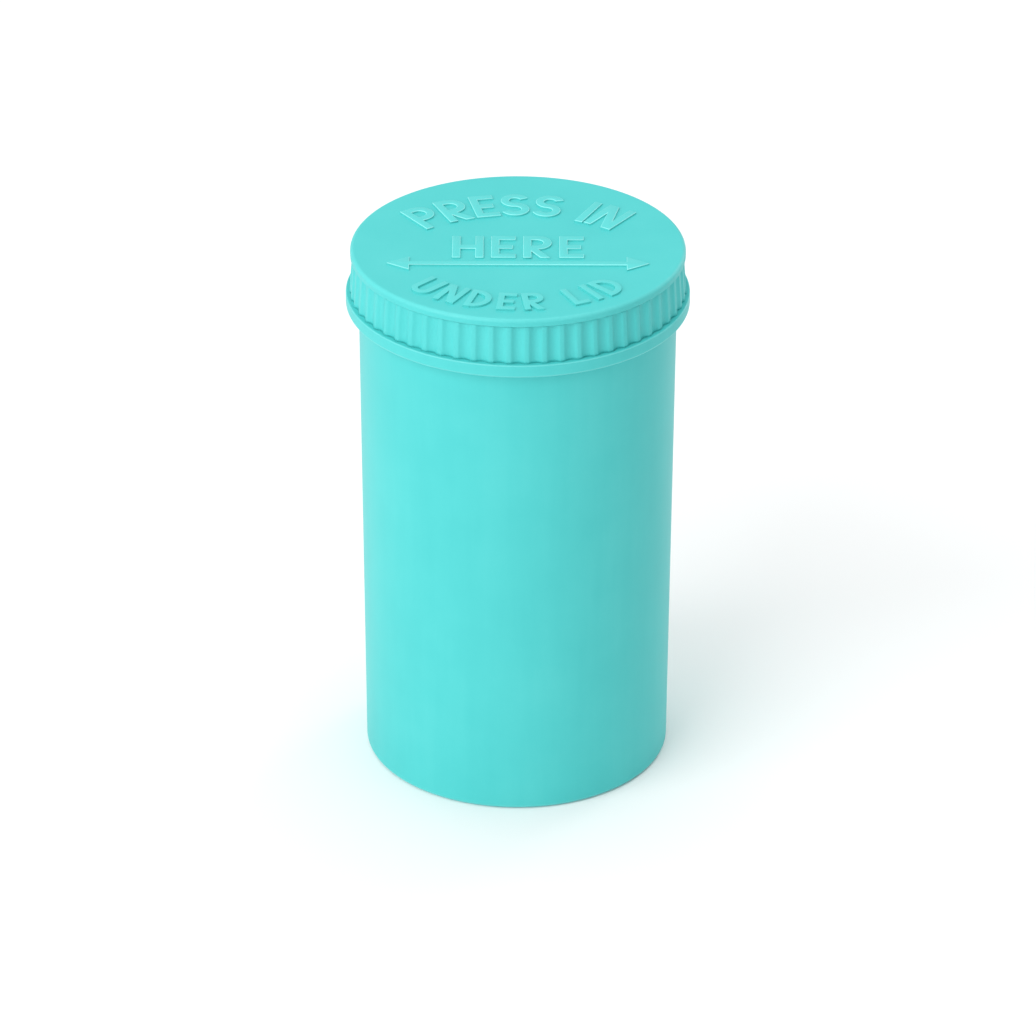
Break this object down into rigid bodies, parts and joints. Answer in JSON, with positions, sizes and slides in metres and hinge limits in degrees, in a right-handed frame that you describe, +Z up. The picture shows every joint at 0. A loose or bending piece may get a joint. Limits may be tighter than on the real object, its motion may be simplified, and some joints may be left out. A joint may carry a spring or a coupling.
{
  "type": "prescription vial",
  "caption": "Squeeze-top prescription vial: opaque plastic tube with a collar and a hinged, fluted snap lid that pops open when the side walls are pressed in.",
  "frame": {"origin": "centre of the base, on the surface that the vial stands on", "axes": "+Z up along the tube; +Y towards the hinge, so the front of the closed lid faces -Y; the walls are squeezed in along X, as the lid's arrow points"},
  "size_m": [0.0428, 0.0455, 0.0702],
  "materials": {
    "tube_plastic": "satin moulded polypropylene, opaque teal",
    "lid_plastic": "satin moulded polypropylene, opaque teal, finely grained top",
    "legend_plastic": "the lid's own plastic, a little smoother on the raised faces",
    "hinge_plastic": "the same plastic, paler where the film is thin and folded"
  },
  "bodies": {
    "vial": {"tube_wall": "tube_plastic", "grip_wall": "tube_plastic", "tube_floor": "tube_plastic", "collar_ring": "tube_plastic", "neck": "tube_plastic", "collar_hinge_leaf": "hinge_plastic", "hinge_film": "hinge_plastic"},
    "left_wall": {"squeeze_wall_left": "tube_plastic"},
    "right_wall": {"squeeze_wall_right": "tube_plastic"},
    "lid": {"lid_plate": "lid_plastic", "lid_skirt": "lid_plastic", "lid_plug": "lid_plastic", "lid_hinge_leaf": "hinge_plastic", "legend_upper_words": "legend_plastic", "legend_middle_word": "legend_plastic", "legend_lower_words": "legend_plastic", "legend_arrow": "legend_plastic"}
  },
  "joints": [
    {"name": "lid_hinge", "type": "hinge", "parent": "vial", "child": "lid", "pos_m": [0, 0.024, 0.0641], "axis": [-1, 0, 0], "range_deg": [0, 180], "deforming": ["hinge_film"]},
    {"name": "right_wall_squeeze", "type": "slide", "parent": "vial", "child": "right_wall", "axis": [-1, 0, 0], "range_m": [0, 0.0025], "stiffness_N_per_m": 7000},
    {"name": "left_wall_squeeze", "type": "slide", "parent": "vial", "child": "left_wall", "axis": [1, 0, 0], "range_m": [0, 0.0025], "stiffness_N_per_m": 7000}
  ],
  "couplings": [
    {"joint": "left_wall_squeeze", "follows": "right_wall_squeeze", "ratio": 1}
  ]
}
